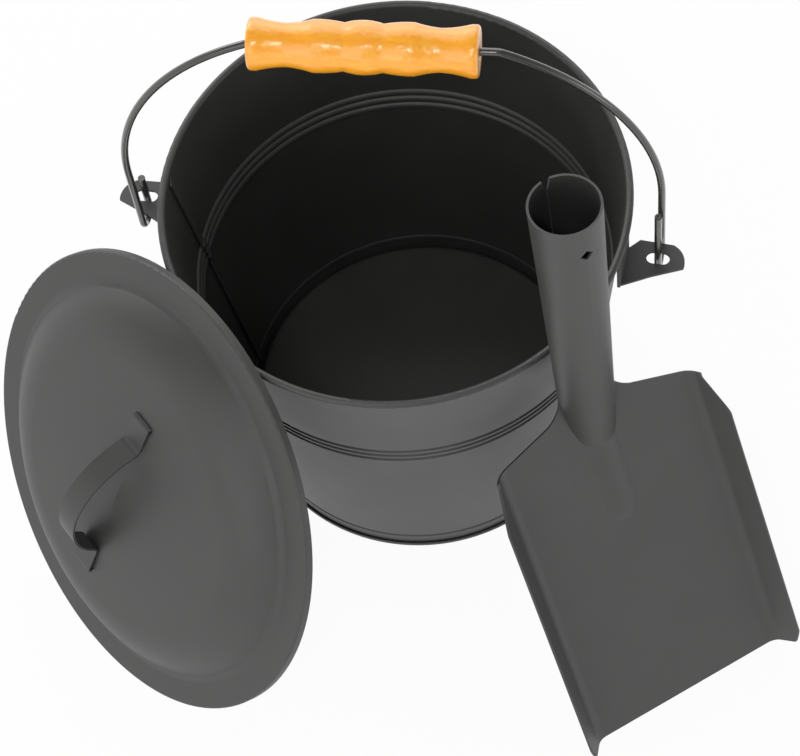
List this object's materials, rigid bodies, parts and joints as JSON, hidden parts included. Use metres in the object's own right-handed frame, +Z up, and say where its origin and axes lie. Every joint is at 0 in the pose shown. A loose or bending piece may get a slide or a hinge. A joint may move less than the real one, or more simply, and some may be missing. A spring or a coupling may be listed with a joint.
{
  "type": "ash bucket with shovel",
  "caption": "Tapered sheet-steel ash bucket with swaged grooves, wire bail and turned wooden grip, domed lid with strap handle leaning on the rim, and a stamped ash shovel",
  "frame": {"origin": "On the floor under the middle of the bucket's foot", "axes": "+Z up along the bucket's axis, X through the two ears (right ear +X), front with the lid and shovel towards -Y"},
  "size_m": [0.4607, 0.3578, 0.3662],
  "materials": {
    "coated_steel": "matte anthracite powder coat",
    "coated_wire": "satin black coat",
    "varnished_wood": "clear varnish over orange-stained wood"
  },
  "bodies": {
    "bucket": {"bucket_wall": "coated_steel", "bucket_base": "coated_steel", "ear_left": "coated_steel", "ear_right": "coated_steel"},
    "bail": {"bail_wire": "coated_wire"},
    "grip": {"bail_grip": "varnished_wood"},
    "lid": {"lid_dome": "coated_steel", "lid_handle": "coated_steel"},
    "shovel": {"shovel": "coated_steel"}
  },
  "joints": [
    {"name": "bail_hinge", "type": "hinge", "parent": "bucket", "child": "bail", "pos_m": [0, 0, 0.187], "axis": [1, 0, 0], "range_deg": [-30, 27]},
    {"name": "grip_spin", "type": "hinge", "parent": "bail", "child": "grip", "pos_m": [0, 0, 0.353], "axis": [0.9959, 0.0906, 0], "continuous": true},
    {"name": "lid_lift", "type": "slide", "parent": "bucket", "child": "lid", "axis": [0, 0, 1], "range_m": [0, 0.45]},
    {"name": "shovel_lift", "type": "slide", "parent": "bucket", "child": "shovel", "axis": [0, 0, 1], "range_m": [0, 0.45]}
  ]
}
